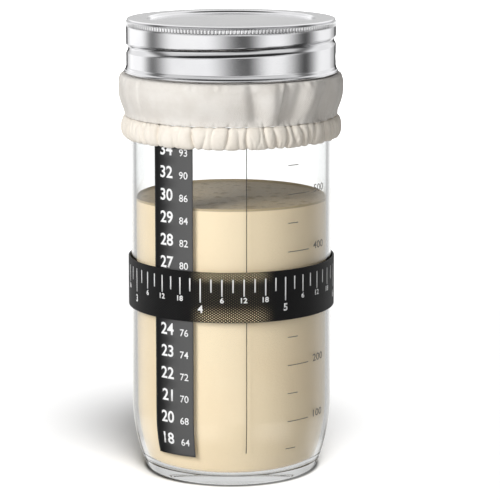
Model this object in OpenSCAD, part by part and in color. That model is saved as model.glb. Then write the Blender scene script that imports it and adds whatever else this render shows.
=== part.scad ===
// Sourdough starter jar: a straight-walled glass jar that holds a risen starter, with a cloth
// cover gathered by an elastic hem, a pressed metal screw lid with a silicone gasket over it, a
// stretchy time band round the glass and a stick-on thermometer strip.
// Origin: centre of the foot, on the surface it stands on. +Z is up the jar, -Y is the front.

/* [Glass jar] */
// Outside diameter of the straight wall
jar_d = 80; // [74:0.5:88]
// Height of the glass, foot to rim
jar_h = 178.7; // [165:0.1:200]
// Thickness of the wall
jar_wall = 2; // [1.6:0.1:2.8]
// Thickness of the floor above the surface the jar stands on
floor_t = 4; // [3:0.25:6]
// Height at which the wall starts to curve in towards the foot
heel_h = 28; // [22:1:34]
// Radius of that curve, seen from the side
heel_r = 69; // [60:1:85]
// Rounding at the outer edge of the foot
foot_r = 1.8; // [1:0.1:2.6]
// Rounding inside, where the wall meets the floor
corner_r = 5; // [3:0.5:7]
// Inner diameter of the ring that the jar stands on
foot_in_d = 60; // [50:1:62]
// Rise of the hollow under the floor
push_up = 1.2; // [0.6:0.1:1.8]
// How far the neck is set in from the wall
neck_step = 0.7; // [0.4:0.1:1.2]
// Height of the neck, rim to shoulder
neck_h = 25; // [23:0.5:32]
// Height of the sloped shoulder below the neck
shoulder_h = 2; // [1:0.5:4]

/* [Starter] */
// Height of the risen starter's surface
starter_z = 110.5; // [60:0.5:125]
// Height that the starter climbs up the glass at its edge
meniscus = 0.8; // [0.2:0.1:1.5]

/* [Lid] */
// Height of the lid, top face to rolled edge
lid_h = 21.5; // [19:0.5:24]
// Thickness of the sheet metal
lid_t = 0.5; // [0.4:0.05:0.6]
// Room between the cloth and the lid's wall for the rolled thread
thread_room = 1.2; // [1:0.1:1.6]
// Rounding of the top edge
lid_edge_r = 0.5; // [0.4:0.1:0.9]
// How far the top edge stands in from the wall
top_inset = 0.25; // [0.15:0.05:0.35]
// Depth of the waist between the top edge and the grip ring
waist_depth = 0.12; // [0.08:0.02:0.2]
// Height of the waist
waist_h = 0.6; // [0.4:0.1:1]
// Height of the toothed grip ring
grip_h = 1.9; // [1.4:0.1:2.4]
// Depth of its teeth
grip_depth = 0.3; // [0.15:0.05:0.4]
// Number of its teeth
grip_teeth = 190; // [120:2:200]
// Diameter of the sunken centre panel
panel_d = 64; // [50:1:66]
// Width of the slope round the panel
panel_slope = 1.4; // [1:0.1:2]
// Depth of the panel
panel_depth = 1; // [0.6:0.1:1.2]
// Outer radius of the roll at the bottom edge
roll_r = 1.1; // [0.9:0.05:1.2]

/* [Gasket] */
// Thickness of the silicone ring
gasket_t = 1.85; // [1.4:0.05:2.4]
// Width of the ring
gasket_w = 5.6; // [4:0.1:6]

/* [Cloth cover] */
// Thickness of the cloth
cloth_t = 0.35; // [0.3:0.05:0.45]
// How far the cloth sags into the mouth
crown_sag = 1.6; // [0.5:0.1:4]
// Height of the puffed skirt below the lid
skirt_h = 16.3; // [14:0.1:20]
// How far the skirt puffs out past the waist above the hem
skirt_puff = 3.3; // [2:0.1:4]
// Radial thickness of the bunched cloth at that waist
bunch_t = 1.1; // [0.9:0.05:1.6]
// Number of slanting folds round the skirt
folds = 12; // [8:4:16]
// Depth of the folds at the side where they are deepest
fold_depth = 1.5; // [0.5:0.1:2]
// Angle at which the deepest folds lie, from +X
fold_side = -10; // [-90:5:90]
// Height of the gathered hem
hem_h = 8.8; // [8.6:0.1:11]
// Radial thickness of the hem at its fullest
hem_t = 3.1; // [2.8:0.1:3.6]
// Number of gathers round the hem
gathers = 60; // [48:4:64]
// Depth of a gather
gather_depth = 0.8; // [0.3:0.1:1]
// Width of the flat elastic in the hem
elastic_w = 6; // [4.5:0.5:6]
// Thickness of the elastic
elastic_t = 0.7; // [0.5:0.1:0.8]

/* [Time band] */
// Height of the band's lower edge
band_z = 67.1; // [40:0.1:80]
// Height of the band
band_h = 19.8; // [15:0.1:25]
// Thickness of the woven cloth of the band
weave_t = 0.18; // [0.15:0.01:0.25]
// Thickness of the rubber inside it
rubber_t = 0.3; // [0.2:0.05:0.5]
// Width of the sewn overlap at the back
overlap_w = 7; // [4:0.5:10]

/* [Thermometer strip] */
// Length of the strip
strip_l = 127; // [90:1:128]
// Width of the strip, round the glass
strip_w = 18; // [12:0.2:22]
// Height of its lower edge
strip_z = 12.2; // [11:0.1:14]
// Where its middle lies, in degrees from the front towards the left side
strip_turn = 34; // [0:0.1:90]
// Thickness of the printed film
film_t = 0.18; // [0.1:0.02:0.2]
// Thickness of the glue layer behind it
glue_t = 0.08; // [0.05:0.01:0.1]

/* [Hidden] */

$fn = 96;

// Clearances
lay_gap = 0.05;      // between pieces that lie on each other and stay there
seat_gap = 0.15;     // between the gasket and the cloth that it presses on
run_gap = 0.06;      // between pieces that turn or slide on each other
hem_gap = 0.3;       // between soft pieces and what passes them

// Glass
jar_r = jar_d / 2;
bore_r = jar_r - jar_wall;
neck_r = jar_r - neck_step;
mouth_r = neck_r - jar_wall;
neck_z = jar_h - neck_h;
lip_r = jar_wall / 2;

// Stack over the rim
crown_z = jar_h + lay_gap + cloth_t;
gasket_z = crown_z + seat_gap;
lid_top = gasket_z + gasket_t + lid_t;
lid_foot = lid_top - lid_h;

// Stack outside the neck
sleeve_r = neck_r + 2 * lay_gap + cloth_t;
lid_in_r = sleeve_r + thread_room;
lid_r = lid_in_r + lid_t;
top_r = lid_r - top_inset;
seat_r = top_r - waist_depth - lid_t;
knurl_top = lid_top - lid_edge_r - waist_h;
knurl_foot = knurl_top - grip_h;

// Strip and what passes over it
glue_r = jar_r + lay_gap / 2;
film_r = glue_r + glue_t + lay_gap / 2;
skin_r = film_r + film_t;

// Skirt and hem
skirt_top = lid_foot - hem_gap;
skirt_foot = skirt_top - skirt_h;
waist_r = jar_r + bunch_t + cloth_t;
hem_top = skirt_foot - lay_gap;
hem_in_r = skin_r + lay_gap;
elastic_r = hem_in_r + lay_gap;
channel_r = elastic_r + elastic_t + run_gap;
cover_steps = 48;
skirt_rows = 7;
lip_steps = 6;

// Time band, from the glass outwards
band_in_r = skin_r + 2 * run_gap;
rubber_r = band_in_r + weave_t + run_gap;
weave_r = rubber_r + rubber_t + run_gap;
band_r = weave_r + weave_t;
fold_t = 3 * weave_t;
slot_h = 0.4;
edge_cut = 0.08;

// Points along an arc, from angle a0 to angle a1
function arc(x, z, r, a0, a1, steps) =
    [for (i = [0:steps]) let (a = a0 + (a1 - a0) * i / steps) [x + r * cos(a), z + r * sin(a)]];

function backwards(list) = [for (i = [len(list) - 1:-1:0]) list[i]];

function mix(a, b, t) = a + (b - a) * min(1, max(0, t));

// The jar's side from the straight wall round the heel to a flat floor, as the wall is offset
function heel(inset, fillet, floor_z) =
    let (x = jar_r - heel_r,
         r = heel_r - inset,
         a = -asin((heel_h - floor_z - fillet) / (r - fillet)))
    concat(arc(x, heel_h, r, 0, a, 10),
           arc(x + (r - fillet) * cos(a), floor_z + fillet, fillet, a, -90, 5));

// The slope between the lid's sunken panel and its rim, seen from the side
function panel_step(top) =
    [for (i = [0:6]) [panel_d / 2 + panel_slope * i / 6, top - panel_depth * (1 + cos(30 * i)) / 2]];

// The height is the fraction u of the skirt, from the waist over the hem up to the lid
function skirt_r(u) =
    mix(waist_r, sleeve_r, (u - 0.8) / 0.2) + skirt_puff * pow(sin(180 * pow(u, 1.5)), 0.6);

// How deep a fold is pressed in at angle a: shallow at one side of the jar, deep at the other
function fold_in(a, u) =
    fold_depth * sqrt(sin(180 * u)) * (0.3 + 0.35 * (1 + cos(a - fold_side)))
    * (1 - cos(folds * a + 200 * u)) / 2;

function turn(steps, r, z) =
    [for (i = [0:steps - 1]) let (a = 360 * i / steps) [r * cos(a), r * sin(a), z]];

// One ring of the skirt's cloth, drawn in by inset
function skirt_ring(u, inset) =
    [for (i = [0:cover_steps - 1])
        let (a = 360 * i / cover_steps, r = skirt_r(u) - fold_in(a, u) - inset)
        [r * cos(a), r * sin(a), skirt_foot + skirt_h * u]];

// The rings of one face of the cover, from the middle of the crown over the lip of the glass and
// down to the waist. Over the lip they stand on the same steps as the arc of the lip itself.
function cover_rings(inset) =
    let (lip_x = neck_r - lip_r, lip_z = jar_h - lip_r)
    concat(
        [turn(cover_steps, mouth_r * 0.55, crown_z - inset - crown_sag * 0.7)],
        [for (i = [0:lip_steps / 2]) let (a = 90 - 180 * i / lip_steps)
            turn(cover_steps, lip_x + (sleeve_r - inset - lip_x) * cos(a),
                lip_z + (crown_z - inset - lip_z) * sin(a))],
        [for (i = [0:skirt_rows]) skirt_ring((1 + cos(180 * i / skirt_rows)) / 2, inset)]);

// One ring of the hem at radius r: every second point stands in by its share of a gather
function hem_ring(r, z, share) =
    [for (i = [0:2 * gathers - 1])
        let (a = 180 * i / gathers, s = r - gather_depth * share * (i % 2))
        [s * cos(a), s * sin(a), z]];

// Joins rings of points into one closed skin: either round on itself, or with a point at each end
module skin(rings, ends = []) {
    n = len(rings[0]);
    m = len(rings);
    open = len(ends) > 0;
    sides = [for (j = [0:m - (open ? 2 : 1)]) for (i = [0:n - 1])
        let (k = (i + 1) % n, up = ((j + 1) % m) * n)
        each [[j * n + i, j * n + k, up + k], [j * n + i, up + k, up + i]]];
    caps = [for (i = [0:n - 1]) let (k = (i + 1) % n)
        each [[m * n, k, i], [m * n + 1, (m - 1) * n + i, (m - 1) * n + k]]];
    polyhedron(concat([for (ring = rings) each ring], ends), concat(sides, open ? caps : []),
        convexity = 8);
}

// A ring of rectangular section
module band_ring(r_in, r_out, z_low, z_high) {
    rotate_extrude() translate([r_in, z_low]) square([r_out - r_in, z_high - z_low]);
}

// A thin plate bent round the glass, raised off it by gap, that follows the curve into the heel
module strip_plate(gap, thickness, edge) {
    width = (strip_w - 2 * edge) / jar_r * 180 / PI;
    low = -asin((heel_h - strip_z - edge) / heel_r);
    top = strip_z + strip_l - edge;
    rotate([0, 0, -90 - strip_turn - width / 2]) rotate_extrude(angle = width) polygon(concat(
        [[jar_r + gap, top]],
        arc(jar_r - heel_r, heel_h, heel_r + gap, 0, low, 8),
        arc(jar_r - heel_r, heel_h, heel_r + gap + thickness, low, 0, 8),
        [[jar_r + gap + thickness, top]]));
}

module glass_jar() {
    underside = [for (i = [0:6]) [foot_in_d / 2 * i / 6, push_up * (1 - pow(i / 6, 2))]];
    color([0.86, 0.92, 0.92, 0.4])
        rotate_extrude() polygon(concat(
            underside,
            backwards(heel(0, foot_r, 0)),
            [[jar_r, neck_z - shoulder_h], [neck_r, neck_z]],
            arc(neck_r - lip_r, jar_h - lip_r, lip_r, 0, 180, lip_steps),
            [[mouth_r, neck_z - jar_wall], [bore_r, neck_z - shoulder_h - jar_wall]],
            heel(jar_wall, corner_r, floor_t),
            [[0, floor_t]]));
}

module starter() {
    inset = jar_wall + lay_gap;
    edge_r = jar_r - inset;
    surface = [for (i = [0:5]) [edge_r - meniscus * 2 * (5 - i) / 5, starter_z + meniscus * pow(i / 5, 2)]];
    color([0.93, 0.87, 0.76])
        rotate_extrude() polygon(concat(
            [[0, starter_z]], surface, heel(inset, corner_r, floor_t + lay_gap), [[0, floor_t + lay_gap]]));
}

module lid_shell() {
    roll_x = lid_r - lid_t / 2;
    roll_z = lid_foot + roll_r;
    roll_start = 40;
    roll_end = -200;
    // The wall flares out in a curve that meets the roll
    flare_r = (roll_x + roll_r * cos(roll_start) - lid_r) / (1 - cos(roll_start));
    flare_z = roll_z + (roll_r + flare_r) * sin(roll_start);
    knurl_r = lid_r - lid_t / 4;
    step_z = knurl_foot - lid_t;
    color([0.78, 0.78, 0.79]) {
        rotate_extrude() polygon(concat(
            [[0, lid_top - panel_depth]],
            panel_step(lid_top),
            arc(top_r - lid_edge_r, lid_top - lid_edge_r, lid_edge_r, 90, 0, 5),
            [[top_r - waist_depth, lid_top - lid_edge_r - waist_h / 2],
             [knurl_r, knurl_top], [knurl_r, knurl_foot],
             [lid_r, step_z]],
            arc(lid_r + flare_r, flare_z, flare_r, 180, 180 + roll_start, 4),
            arc(roll_x, roll_z, roll_r, roll_start, roll_end, 16),
            arc(roll_x, roll_z, roll_r - lid_t, roll_end, roll_start, 16),
            arc(lid_r + flare_r, flare_z, flare_r + lid_t, 180 + roll_start, 180, 4),
            [[lid_in_r, step_z - lid_t], [seat_r, step_z + lid_t]],
            arc(seat_r - lid_edge_r / 2, lid_top - lid_t - lid_edge_r / 2, lid_edge_r / 2, 0, 90, 3),
            backwards(panel_step(lid_top - lid_t)),
            [[0, lid_top - lid_t - panel_depth]]));
        grip_ring(knurl_r);
    }
}

// The toothed ring that fingers grip: its teeth stand out past the lid's wall
module grip_ring(core_r) {
    root_r = core_r + grip_depth / 4;
    teeth = [for (i = [0:2 * grip_teeth - 1])
        let (a = 180 * i / grip_teeth, r = root_r + grip_depth * (i % 2))
        [r * cos(a), r * sin(a)]];
    translate([0, 0, knurl_foot]) linear_extrude(grip_h) difference() {
        polygon(teeth);
        circle(r = core_r - lid_t / 4);
    }
}

module lid_gasket() {
    outer = seat_r - run_gap * 2;
    top = gasket_z + gasket_t - lay_gap;
    // Its upper edge is bevelled to clear the rounding inside the lid
    bevel = lid_edge_r / 2;
    color([0.75, 0.76, 0.77])
        rotate_extrude() polygon([
            [outer - gasket_w, gasket_z], [outer, gasket_z], [outer, top - bevel],
            [outer - bevel, top], [outer - gasket_w, top]]);
}

module cloth_cover() {
    color([0.93, 0.91, 0.86])
        skin(concat(cover_rings(0), backwards(cover_rings(cloth_t))),
            [[0, 0, crown_z - crown_sag], [0, 0, crown_z - cloth_t - crown_sag]]);
}

module cloth_hem() {
    foot = hem_top - hem_h;
    full_r = hem_in_r + hem_t;
    fold = 3 * cloth_t / 2;
    color([0.93, 0.91, 0.86])
        skin([hem_ring(hem_in_r, foot + fold, 0.1),
              hem_ring(hem_in_r + hem_t * 0.3, foot, 0.5),
              hem_ring(hem_in_r + hem_t * 0.85, foot + hem_h * 0.2, 1),
              hem_ring(full_r, foot + hem_h * 0.55, 1),
              hem_ring(hem_in_r + hem_t * 0.85, foot + hem_h * 0.85, 1),
              hem_ring(waist_r, hem_top, 0.4),
              hem_ring(hem_in_r, hem_top - fold, 0.1),
              hem_ring(channel_r, hem_top - 2 * fold, 0),
              hem_ring(channel_r, foot + 2 * fold, 0)]);
}

module hem_elastic() {
    middle = hem_top - hem_h / 2;
    color([0.9, 0.9, 0.88])
        band_ring(elastic_r, elastic_r + elastic_t, middle - elastic_w / 2, middle + elastic_w / 2);
}

module band_sleeve() {
    top = band_z + band_h;
    middle = band_z + band_h / 2;
    overlap = overlap_w / band_r * 180 / PI;
    color([0.13, 0.13, 0.14]) {
        // The cloth goes round the rubber and leaves a slit on the inside, where it is sewn
        rotate_extrude() polygon([
            [band_in_r, middle - slot_h / 2], [band_in_r, band_z], [band_r - edge_cut, band_z],
            [band_r, band_z + edge_cut], [band_r, top - edge_cut], [band_r - edge_cut, top],
            [band_in_r, top], [band_in_r, middle + slot_h / 2],
            [band_in_r + weave_t, middle + slot_h / 2], [band_in_r + weave_t, top - fold_t],
            [weave_r, top - fold_t], [weave_r, band_z + fold_t],
            [band_in_r + weave_t, band_z + fold_t], [band_in_r + weave_t, middle - slot_h / 2]]);
        rotate([0, 0, 90 - overlap / 2]) rotate_extrude(angle = overlap)
            translate([weave_r + weave_t / 2, band_z + weave_t])
                square([weave_t, band_h - 2 * weave_t]);
    }
}

module band_rubber() {
    color([0.2, 0.2, 0.2])
        band_ring(rubber_r, rubber_r + rubber_t, band_z + fold_t + run_gap, band_z + band_h - fold_t - run_gap);
}

module thermometer_film() {
    color([0.08, 0.08, 0.09]) strip_plate(film_r - jar_r, film_t, 0);
}

module thermometer_glue() {
    color([0.8, 0.8, 0.75]) strip_plate(glue_r - jar_r, glue_t, lay_gap);
}

glass_jar();
starter();
lid_shell();
lid_gasket();
cloth_cover();
cloth_hem();
hem_elastic();
band_sleeve();
band_rubber();
thermometer_film();
thermometer_glue();
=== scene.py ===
# %% [markdown]
# # A jar of risen sourdough starter
#
# The object is a straight glass jar with a risen starter in it. A cloth cover lies over the mouth,
# a pressed metal lid closes it, a woven time band goes round the glass, and a thermometer strip and
# a volume scale are on its wall.
#
# Almost every piece here is turned, wrapped or gathered round one axis. So each is worked out as a
# surface: a formula of two parameters, usually a height and an angle, gives a grid of points, and
# the grid becomes a mesh. That keeps the real sizes in sight, and a fold, a tooth or a thread is
# one more term in a formula.

import math

import bmesh
import bpy
import numpy as np
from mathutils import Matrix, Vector


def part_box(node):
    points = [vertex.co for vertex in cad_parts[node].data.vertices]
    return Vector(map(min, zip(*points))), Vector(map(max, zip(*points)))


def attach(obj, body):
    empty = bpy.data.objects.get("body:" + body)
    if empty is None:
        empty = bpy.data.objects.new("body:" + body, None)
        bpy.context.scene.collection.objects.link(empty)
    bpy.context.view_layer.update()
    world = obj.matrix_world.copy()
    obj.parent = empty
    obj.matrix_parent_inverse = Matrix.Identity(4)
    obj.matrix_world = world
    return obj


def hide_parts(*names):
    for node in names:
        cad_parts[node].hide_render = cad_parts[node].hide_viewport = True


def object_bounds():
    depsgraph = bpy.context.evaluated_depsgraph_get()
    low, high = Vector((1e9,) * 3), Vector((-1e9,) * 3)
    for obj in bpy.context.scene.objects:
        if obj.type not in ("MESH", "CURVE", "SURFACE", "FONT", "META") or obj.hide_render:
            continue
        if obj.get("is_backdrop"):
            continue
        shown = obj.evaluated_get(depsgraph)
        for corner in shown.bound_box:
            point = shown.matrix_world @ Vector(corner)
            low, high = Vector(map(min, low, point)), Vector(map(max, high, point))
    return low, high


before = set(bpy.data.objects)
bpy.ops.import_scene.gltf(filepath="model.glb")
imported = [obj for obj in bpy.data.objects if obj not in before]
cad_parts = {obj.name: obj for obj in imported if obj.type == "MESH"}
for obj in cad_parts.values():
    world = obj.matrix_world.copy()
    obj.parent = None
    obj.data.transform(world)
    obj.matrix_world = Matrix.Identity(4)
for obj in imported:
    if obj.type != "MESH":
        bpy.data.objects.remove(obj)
cad_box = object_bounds()
MM = 0.001


# %% [markdown]
# ## Sizes come from the frame
#
# The solids already have the real sizes, so heights and radii are read from their boxes. Only what
# a box can't tell, such as the radius of a curve, is written here as a number. Everything is in
# millimetres until a mesh is made.

# %% Read the heights and radii of the solids
def heights(node):
    """Lowest and highest z of a solid, and its reach along +X, in millimetres."""
    low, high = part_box(node)
    return low.z / MM, high.z / MM, high.x / MM


_, jar_h, jar_r = heights("glass_jar")
_, starter_edge_z, starter_r = heights("starter")
lid_foot, lid_top, roll_reach = heights("lid_shell")
skirt_foot, cover_top, _ = heights("cloth_cover")
hem_foot, hem_top, _ = heights("cloth_hem")
elastic_foot, elastic_top, elastic_r = heights("hem_elastic")
band_foot, band_top, band_r = heights("band_sleeve")
strip_foot, strip_top, _ = heights("thermometer_film")
print(f"jar {2 * jar_r:.1f} across and {jar_h:.1f} high, lid top at {lid_top:.1f}")


# %% [markdown]
# ## From a grid of points to a mesh
#
# A turned shape could be made with the Spin or Screw tool, and a folded one by sculpting. A grid of
# points does both, and it closes in one way: the last column repeats the first, the rows end on the
# axis or meet again, and points that fall on each other are merged.

# %% Helpers that draw profiles
def arc(x, z, r, start, end, steps):
    """Points (x + r cos a, z + r sin a), with the angle a going from start to end in degrees."""
    a = np.radians(np.linspace(start, end, steps + 1))
    return np.stack([x + r * np.cos(a), z + r * np.sin(a)], axis=1)


def path(*parts):
    """One list of points (r, z) from single points and arcs."""
    return np.concatenate([np.atleast_2d(part) for part in parts])


def dense(profile, step):
    """The same outline with more points on it: each stretch longer than step is divided evenly."""
    gaps = np.linalg.norm(np.diff(profile, axis=0), axis=1)
    counts = np.maximum(1, np.ceil(gaps / step)).astype(int)
    parts = [np.linspace(a, b, n, endpoint=False) for a, b, n in zip(profile, profile[1:], counts)]
    return np.concatenate([*parts, profile[-1:]])


def run_length(profile):
    """How far along the outline each of its points lies, in millimetres."""
    return np.concatenate([[0], np.cumsum(np.linalg.norm(np.diff(profile, axis=0), axis=1))])


def smooth(t):
    """3 t^2 - 2 t^3 with t held between 0 and 1: a soft step."""
    t = np.clip(t, 0, 1)
    return t * t * (3 - 2 * t)


# %% Helpers that turn grids into pieces
def turned(profile, columns=256):
    """Grid of a turned shape: each point (r, z) of the profile goes round to (r cos a, r sin a, z)."""
    a = np.linspace(0, 2 * np.pi, columns + 1)
    r, z = profile[:, :1], profile[:, 1:]
    return np.stack([r * np.cos(a), r * np.sin(a), z + 0 * a], axis=-1)


def unrolled(profile, columns, radius):
    """Map of a turned shape in millimetres: across is radius times the angle, up is the run length."""
    a = np.linspace(0, 2 * np.pi, columns + 1)
    across, up = np.meshgrid(radius * a, run_length(profile))
    return np.stack([across, up], axis=-1)


def signed_volume(points, faces):
    """Sum of the wedges between the faces and the middle: positive when the faces look outwards."""
    p = points - [0, 0, points[:, 2].mean()]
    a, b, c = p[faces[:, 0]], p[faces[:, 1]], p[faces[:, 2]]
    total = (a * np.cross(b, c)).sum()
    if faces.shape[1] == 4:
        total += (a * np.cross(c, p[faces[:, 3]])).sum()
    return total / 6


def mesh_of(name, points, faces, uv=None, crease=35):
    """A mesh from points in millimetres: coincident points merged, faces outwards, edges sharper
    than crease degrees kept sharp."""
    if signed_volume(points, faces) < 0:
        faces = faces[:, ::-1]
    mesh = bpy.data.meshes.new(name)
    mesh.from_pydata((points * MM).tolist(), [], faces.tolist())
    if uv is not None:
        layer = mesh.uv_layers.new(name="UVMap")
        layer.data.foreach_set("uv", uv[faces.ravel()].astype(np.float32).ravel())
    work = bmesh.new()
    work.from_mesh(mesh)
    bmesh.ops.remove_doubles(work, verts=work.verts, dist=1e-7)
    work.to_mesh(mesh)
    work.free()
    mesh.shade_smooth()
    mesh.set_sharp_from_angle(angle=math.radians(crease))
    piece = bpy.data.objects.new(name, mesh)
    bpy.context.scene.collection.objects.link(piece)
    return piece


def surface(name, points, uv=None, crease=35):
    """One piece from a grid, rows x columns x 3: each cell of the grid is a four-sided face."""
    rows, columns = points.shape[:2]
    index = np.arange(rows * columns).reshape(rows, columns)
    faces = np.stack([index[:-1, :-1], index[:-1, 1:], index[1:, 1:], index[1:, :-1]], axis=-1)
    flat_uv = None if uv is None else uv.reshape(-1, 2)
    return mesh_of(name, points.reshape(-1, 3), faces.reshape(-1, 4), flat_uv, crease)


def place(piece, body, slot, material, *nodes):
    """Gives a piece its material and its body, and hides the solids that it stands for. The slot is not used.
    """
    piece.data.materials.append(material)
    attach(piece, body)
    if nodes:
        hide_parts(*nodes)
    print(f"{piece.name}: {len(piece.data.polygons)} faces, rides on {body}")
    return piece


# %% [markdown]
# ## Building materials from nodes
#
# A material is a small graph. Two short helpers keep its code readable: one adds a node and fills
# its inputs with numbers or with the outputs of other nodes, and one starts a material with its
# Principled shader. Effects that several finishes share, such as a weave, are node groups.

# %% Node helpers
def add(tree, kind, inputs=None, **settings):
    """A node in the tree. An input that is given a socket is linked, any other value is set."""
    node = tree.nodes.new(kind)
    for key, value in settings.items():
        setattr(node, key, value)
    for key, value in (inputs or {}).items():
        if isinstance(value, bpy.types.NodeSocket):
            tree.links.new(value, node.inputs[key])
        else:
            node.inputs[key].default_value = value
    return node


def sum_up(tree, operation, a, b=0.0, clamp=False):
    """The output of one Math node."""
    node = add(tree, "ShaderNodeMath", {0: a, 1: b}, operation=operation, use_clamp=clamp)
    return node.outputs[0]


def ramp_between(tree, value, low, high, start=0.0, end=1.0):
    """A soft step: the result goes from start to end while the value goes from low to high."""
    node = add(tree, "ShaderNodeMapRange",
               {"Value": value, "From Min": low, "From Max": high, "To Min": start, "To Max": end},
               interpolation_type="SMOOTHSTEP")
    return node.outputs["Result"]


def blend_colours(tree, share, first, second):
    """The first colour at share 0, the second at share 1."""
    node = add(tree, "ShaderNodeMix", {"Factor": share}, data_type="RGBA")
    for socket, value in zip([node.inputs[6], node.inputs[7]], [first, second]):
        if isinstance(value, bpy.types.NodeSocket):
            tree.links.new(value, socket)
        else:
            socket.default_value = (*value, 1.0)
    return node.outputs[2]


def start_material(name, **constants):
    """A new material, its node tree and its Principled shader with constants set on its sockets."""
    material = bpy.data.materials.new(name)
    material.use_nodes = True
    tree = material.node_tree
    shader = next(n for n in tree.nodes if n.type == "BSDF_PRINCIPLED")
    for key, value in constants.items():
        shader.inputs[key.replace("_", " ")].default_value = value
    return material, tree, shader


def feed(tree, shader, **sockets):
    """Links outputs to the shader's inputs, where Base_Color stands for Base Color."""
    for key, value in sockets.items():
        tree.links.new(value, shader.inputs[key.replace("_", " ")])


def bump(tree, height, depth):
    """A normal from a height between 0 and 1 that stands for a relief of depth metres."""
    return add(tree, "ShaderNodeBump", {"Height": height, "Distance": depth}).outputs["Normal"]


def linear(red, green, blue):
    """A colour read off a screen, 0 to 255, as the linear numbers that a shader takes."""
    c = np.array([red, green, blue]) / 255
    return tuple(np.where(c <= 0.04045, c / 12.92, ((c + 0.055) / 1.055) ** 2.4))


# %% [markdown]
# ## Two effects that several finishes share
#
# *Cloudy* is a slow change of tone with a fine grain on top. It keeps every surface from being one
# flat colour. *Plain weave* is the over and under of threads: two crossed waves, where each thread
# is high while its neighbour is low.

# %% The shared node groups
def start_group(name, inputs, outputs):
    """An empty shader node group with float inputs (and a Vector), and float outputs."""
    group = bpy.data.node_groups.new(name, "ShaderNodeTree")
    group.interface.new_socket("Vector", in_out="INPUT", socket_type="NodeSocketVector")
    for key, value in inputs.items():
        socket = group.interface.new_socket(key, in_out="INPUT", socket_type="NodeSocketFloat")
        socket.default_value = value
    for key in outputs:
        group.interface.new_socket(key, in_out="OUTPUT", socket_type="NodeSocketFloat")
    entry = group.nodes.new("NodeGroupInput")
    exit_node = group.nodes.new("NodeGroupOutput")
    return group, entry.outputs, exit_node.inputs


def make_cloudy():
    """Tone = slow noise, Grain = fine noise, both from 0 to 1 at the given sizes in metres."""
    group, given, result = start_group(
        "cloudy", {"Patch size": 0.02, "Grain size": 0.0005}, ["Tone", "Grain"])
    for size, output in [("Patch size", "Tone"), ("Grain size", "Grain")]:
        scale = sum_up(group, "DIVIDE", 1.0, given[size])
        noise = add(group, "ShaderNodeTexNoise",
                    {"Vector": given["Vector"], "Scale": scale, "Detail": 3.0})
        group.links.new(ramp_between(group, noise.outputs["Fac"], 0.3, 0.7), result[output])
    return group


def make_plain_weave():
    """Height = (1 + sin x sin y) / 2 over threads of a width, with round tops. Gap = 1 in the holes."""
    group, given, result = start_group("plain_weave", {"Thread": 0.5}, ["Height", "Gap"])
    turns = sum_up(group, "DIVIDE", math.pi, given["Thread"])
    split = add(group, "ShaderNodeSeparateXYZ", {"Vector": given["Vector"]})
    across = sum_up(group, "SINE", sum_up(group, "MULTIPLY", split.outputs["X"], turns))
    up = sum_up(group, "SINE", sum_up(group, "MULTIPLY", split.outputs["Y"], turns))
    crossing = sum_up(group, "MULTIPLY", across, up)
    group.links.new(sum_up(group, "MULTIPLY_ADD", crossing, 0.5), result["Height"])
    group.nodes[-1].inputs[2].default_value = 0.5
    closeness = sum_up(group, "ADD", sum_up(group, "ABSOLUTE", across), sum_up(group, "ABSOLUTE", up))
    group.links.new(ramp_between(group, closeness, 0.55, 0.2), result["Gap"])
    return group


cloudy = make_cloudy()
plain_weave = make_plain_weave()


def cloudy_at(tree, patch, grain):
    """The cloudy group on Object coordinates: its Tone and Grain outputs."""
    place_of = add(tree, "ShaderNodeTexCoord").outputs["Object"]
    node = add(tree, "ShaderNodeGroup", node_tree=cloudy)
    tree.links.new(place_of, node.inputs["Vector"])
    node.inputs["Patch size"].default_value = patch
    node.inputs["Grain size"].default_value = grain
    return node.outputs["Tone"], node.outputs["Grain"]


def weave_at(tree, thread):
    """The plain weave on the piece's own map in millimetres: its Height and Gap outputs."""
    cloth_map = add(tree, "ShaderNodeUVMap", uv_map="UVMap").outputs["UV"]
    node = add(tree, "ShaderNodeGroup", node_tree=plain_weave)
    tree.links.new(cloth_map, node.inputs["Vector"])
    node.inputs["Thread"].default_value = thread
    return node.outputs["Height"], node.outputs["Gap"]


print("groups:", cloudy.name, plain_weave.name)


# %% [markdown]
# ## The glass
#
# The jar is blown into a mould: an even wall, a heel that curves in to a thick floor, a hollow
# pushed up under it, and a neck. It is one closed skin, outside and inside, so that light bends
# twice as it does in real glass. The starter stands a hair's breadth clear of it, and the ring of
# clear glass at each edge comes from that.

# %% The profile of the jar's wall
WALL = 2.0
FLOOR = 4.0
HEEL_TOP = 28.0        # where the wall starts to curve in
HEEL_R = 69.0
FOOT_R = 1.8
INNER_CORNER_R = 5.0
FOOT_RING_R = 30.0
PUSH_UP = 1.2
NECK_STEP = 0.7
NECK_H = 25.0
SHOULDER_H = 2.0

neck_r = jar_r - NECK_STEP
neck_z = jar_h - NECK_H
lip_r = WALL / 2


def heel(inset, fillet, floor):
    """The wall's curve from the straight part down to the floor, offset inwards by inset."""
    x = jar_r - HEEL_R
    r = HEEL_R - inset
    a = -math.degrees(math.asin((HEEL_TOP - floor - fillet) / (r - fillet)))
    centre = x + (r - fillet) * math.cos(math.radians(a))
    return path(arc(x, HEEL_TOP, r, 0, a, 40), arc(centre, floor + fillet, fillet, a, -90, 16))


def jar_side(z):
    """Outer radius of the glass at the height z: straight above the heel, a circle below it."""
    drop = np.maximum(HEEL_TOP - z, 0)
    return jar_r - HEEL_R + np.sqrt(HEEL_R ** 2 - drop ** 2)


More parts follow.
